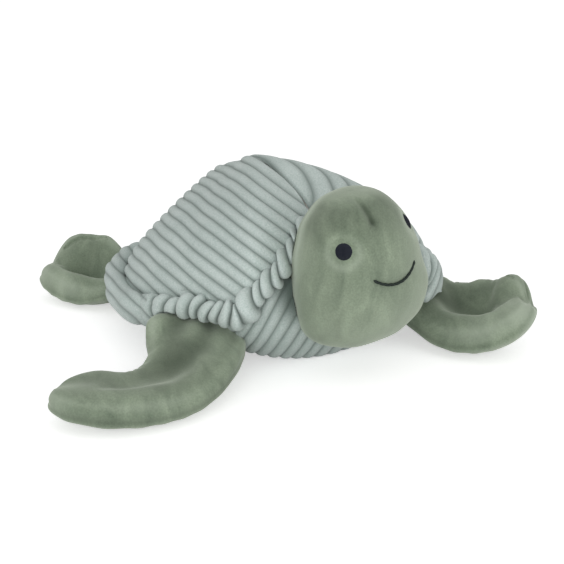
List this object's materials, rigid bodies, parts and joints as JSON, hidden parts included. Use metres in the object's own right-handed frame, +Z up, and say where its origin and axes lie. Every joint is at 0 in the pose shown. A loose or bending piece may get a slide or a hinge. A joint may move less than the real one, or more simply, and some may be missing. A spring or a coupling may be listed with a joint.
{
  "type": "plush sea turtle",
  "caption": "Stuffed sea turtle with a ribbed corduroy shell and gathered rim, velour head and flippers, embroidered eyes and smile; head nods and flippers flap at their seams.",
  "frame": {"origin": "on the resting surface under the middle of the belly", "axes": "+X towards the nose, +Y to the turtle's left, +Z up"},
  "size_m": [0.2488, 0.2751, 0.1045],
  "materials": {
    "corduroy": "wide-wale cotton corduroy, pale grey sage",
    "velour": "short-pile polyester velour, sage green",
    "stuffing": "loose polyester fibrefill inside the cloth",
    "eye_thread": "satin-stitched rayon thread, dark navy",
    "smile_floss": "one line of embroidery floss, dark green"
  },
  "bodies": {
    "torso": {"shell_panel_left": "corduroy", "shell_panel_right": "corduroy", "shell_rim": "corduroy", "belly_panel": "corduroy", "torso_filling": "stuffing"},
    "head": {"head_face_panel": "velour", "head_back_panel": "velour", "head_filling": "stuffing", "eye_left": "eye_thread", "eye_right": "eye_thread", "smile_stitch": "smile_floss"},
    "front_flipper_left": {"front_flipper_left_top": "velour", "front_flipper_left_base": "velour", "front_flipper_left_filling": "stuffing"},
    "front_flipper_right": {"front_flipper_right_top": "velour", "front_flipper_right_base": "velour", "front_flipper_right_filling": "stuffing"},
    "back_flipper_left": {"back_flipper_left_top": "velour", "back_flipper_left_base": "velour", "back_flipper_left_filling": "stuffing"},
    "back_flipper_right": {"back_flipper_right_top": "velour", "back_flipper_right_base": "velour", "back_flipper_right_filling": "stuffing"}
  },
  "joints": [
    {"name": "head_nod", "type": "hinge", "parent": "torso", "child": "head", "pos_m": [0.052, 0, 0.054], "axis": [0, 1, 0], "range_deg": [-5, 8], "stiffness_Nm_per_rad": 0.6},
    {"name": "front_flipper_left_flap", "type": "hinge", "parent": "torso", "child": "front_flipper_left", "pos_m": [0.031, 0.072, 0.018], "axis": [-0.2419, -0.9703, 0], "range_deg": [-10, 12], "stiffness_Nm_per_rad": 0.12},
    {"name": "front_flipper_right_flap", "type": "hinge", "parent": "torso", "child": "front_flipper_right", "pos_m": [0.031, -0.072, 0.018], "axis": [-0.4848, -0.8746, 0], "range_deg": [-10, 12], "stiffness_Nm_per_rad": 0.12},
    {"name": "back_flipper_left_flap", "type": "hinge", "parent": "torso", "child": "back_flipper_left", "pos_m": [-0.08, 0.054, 0.014], "axis": [0.6428, 0.766, 0], "range_deg": [-10, 12], "stiffness_Nm_per_rad": 0.12},
    {"name": "back_flipper_right_flap", "type": "hinge", "parent": "torso", "child": "back_flipper_right", "pos_m": [-0.08, -0.054, 0.014], "axis": [-0.6428, 0.766, 0], "range_deg": [-10, 12], "stiffness_Nm_per_rad": 0.12}
  ]
}
